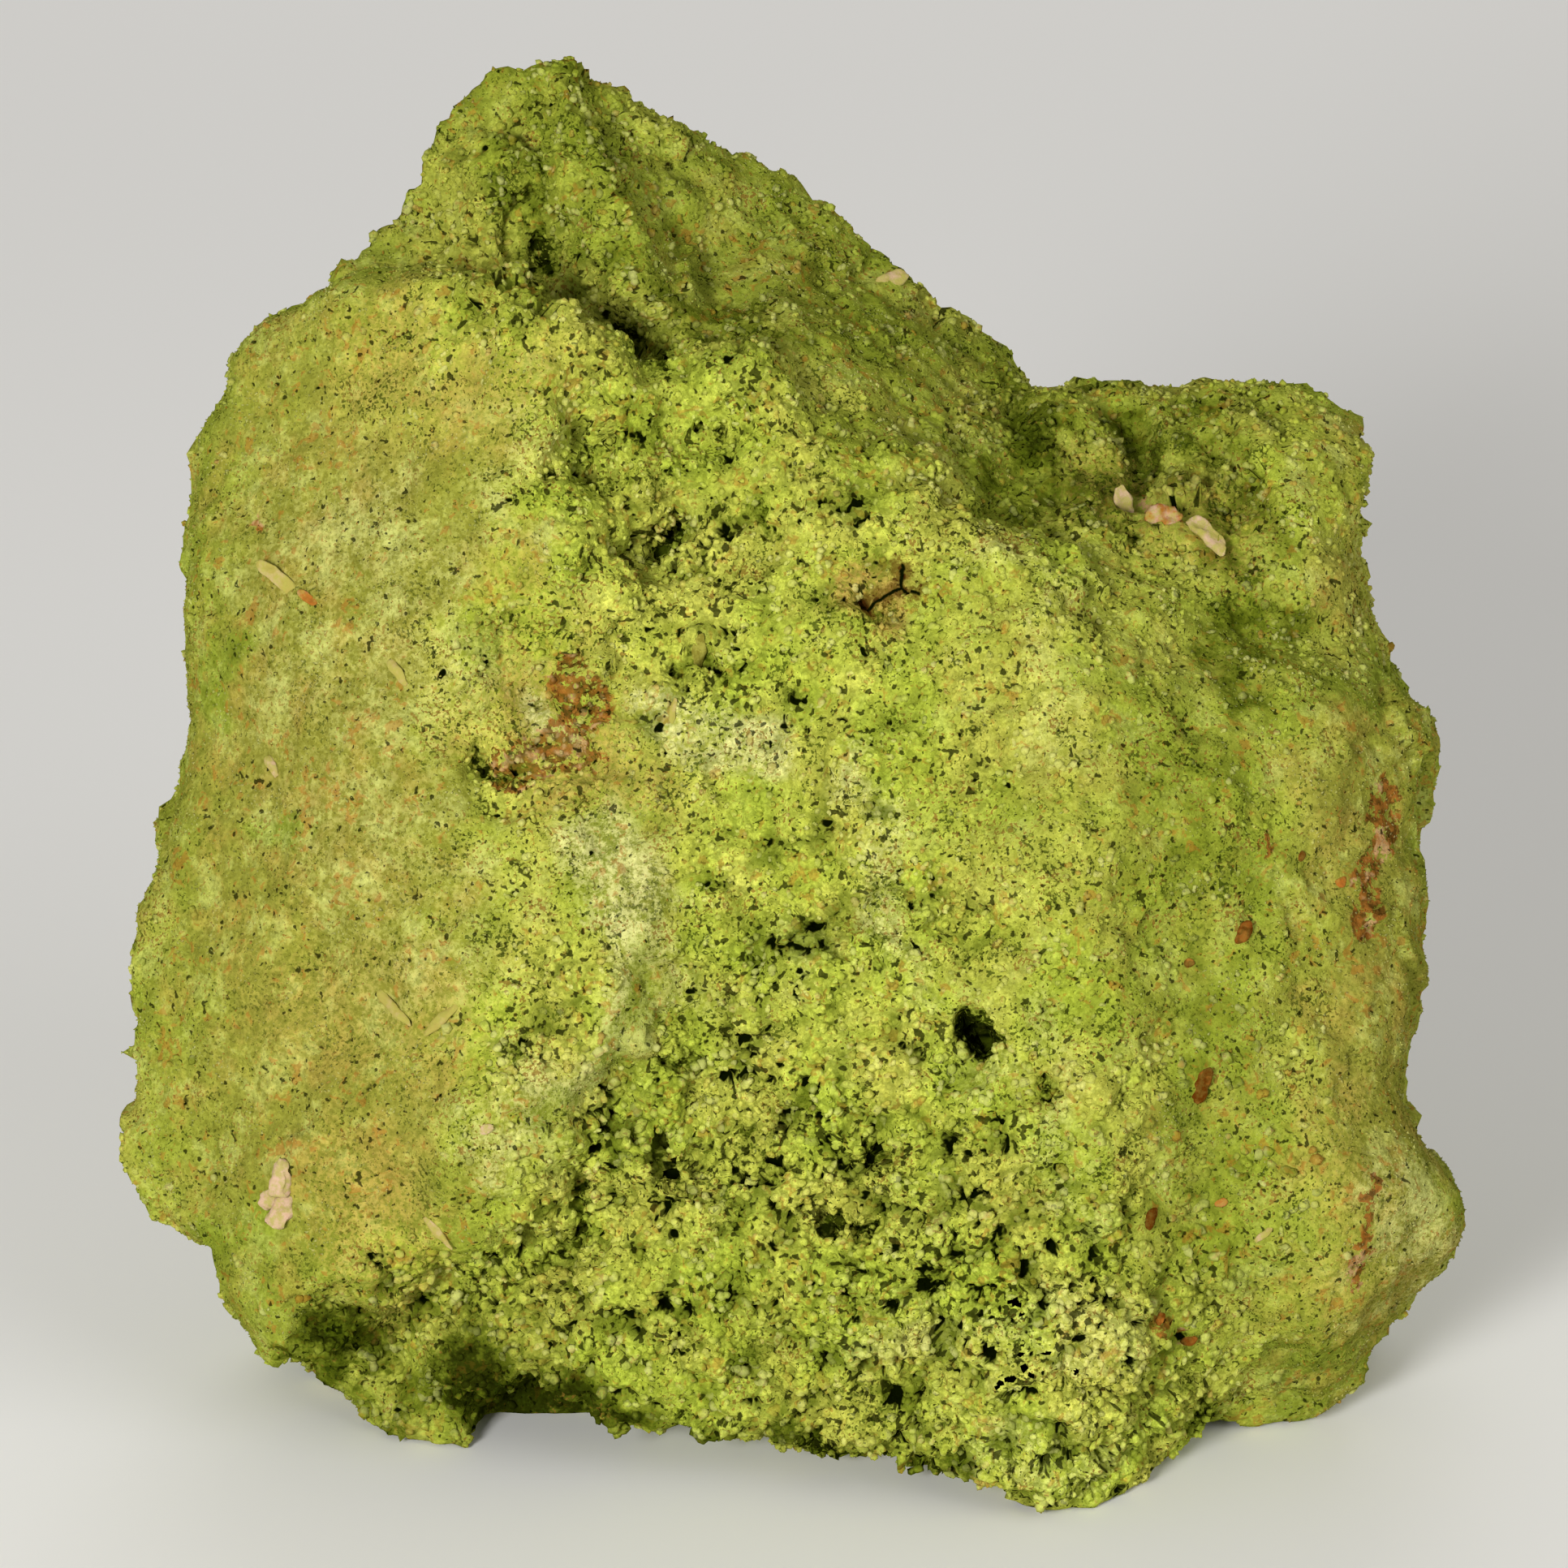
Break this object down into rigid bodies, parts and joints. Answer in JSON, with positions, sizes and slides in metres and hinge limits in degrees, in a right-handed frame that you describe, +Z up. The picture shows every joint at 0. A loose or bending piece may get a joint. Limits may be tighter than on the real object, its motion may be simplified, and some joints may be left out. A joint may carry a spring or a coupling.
{
  "type": "nontronite specimen",
  "caption": "Hand specimen of crumbly yellow-green nontronite clay with a dusty lobe, a porous front, a peak and a flat base to stand on.",
  "frame": {"origin": "middle of the lump's plan, on the flat base that it stands on", "axes": "+Z up, +X to the right across the show face, +Y from the show face to the back"},
  "size_m": [0.0702, 0.0475, 0.0672],
  "materials": {
    "nontronite_clay": "matte"
  },
  "bodies": {
    "root": {"nontronite_mass": "nontronite_clay"}
  },
  "joints": []
}
